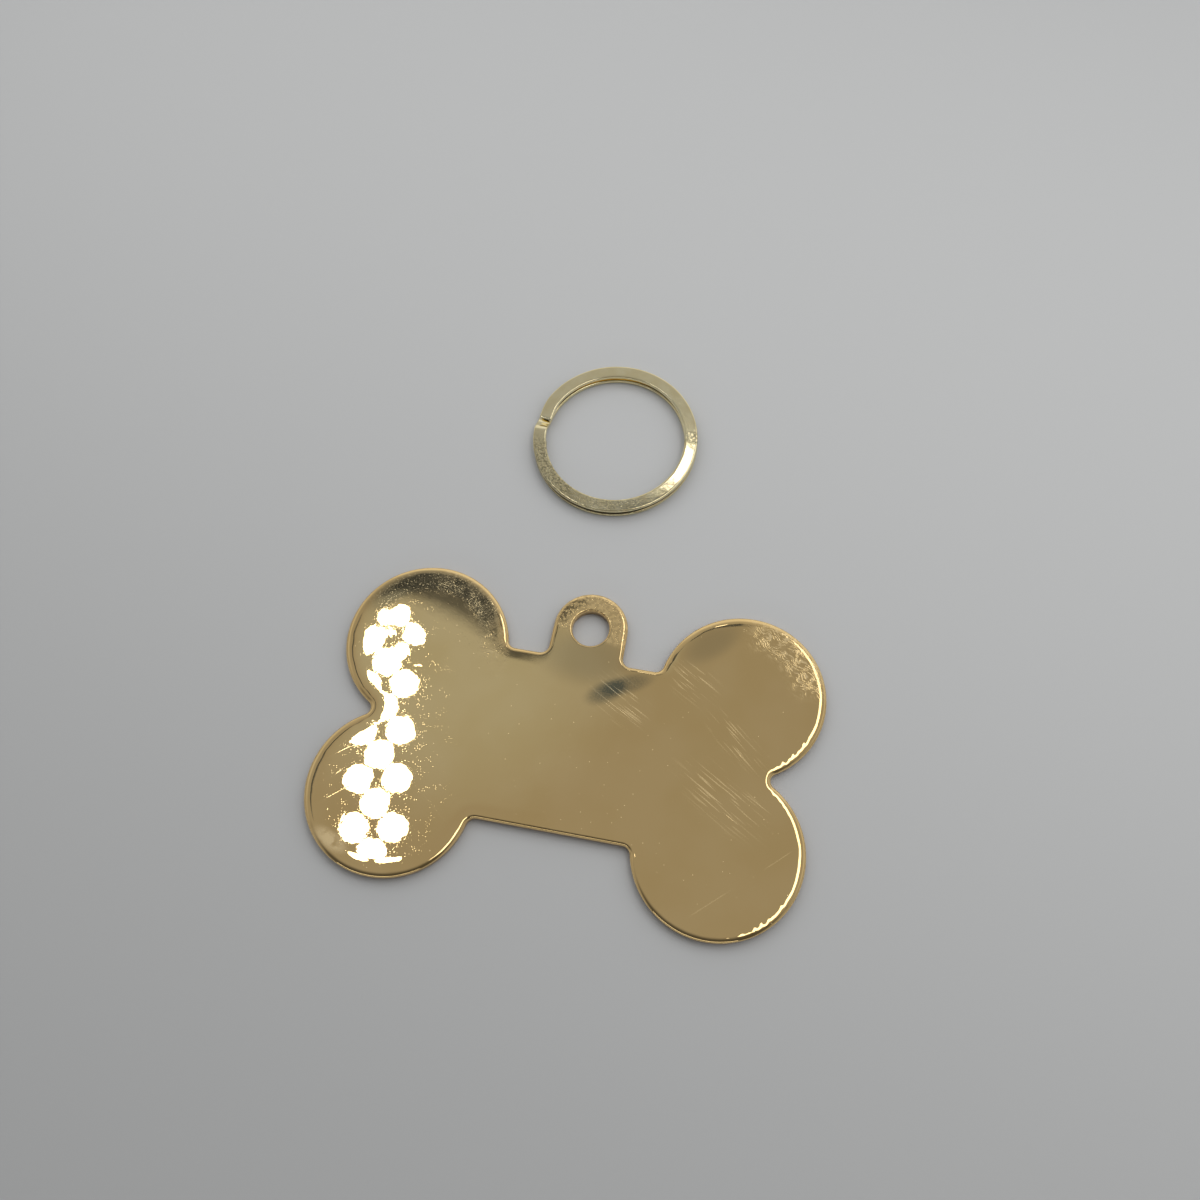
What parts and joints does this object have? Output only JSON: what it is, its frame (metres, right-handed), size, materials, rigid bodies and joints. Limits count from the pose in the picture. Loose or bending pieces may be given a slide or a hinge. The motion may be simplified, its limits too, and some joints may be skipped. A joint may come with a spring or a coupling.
{
  "type": "pet id tag",
  "caption": "Bone-shaped polished metal pet id tag with a pierced ear, and a flat-wire split ring lying beside it that hangs it from a collar.",
  "frame": {"origin": "centre of the bone on the tag's flat back face, which lies on the table", "axes": "+X along the bone, +Y across it towards the ear, +Z out of the tag's face, along the ear's hole"},
  "size_m": [0.05, 0.0604, 0.0013],
  "materials": {
    "gold_plate": "polished yellow gold plating with fine scratches",
    "pale_gold_wire": "bright pale gold plating on drawn flat wire"
  },
  "bodies": {
    "tag": {"tag_plate": "gold_plate"},
    "ring": {"split_ring": "pale_gold_wire"}
  },
  "joints": [
    {"name": "ring_lift", "type": "slide", "parent": "tag", "child": "ring", "axis": [0, 0, 1], "range_m": [0, 0.04]}
  ]
}
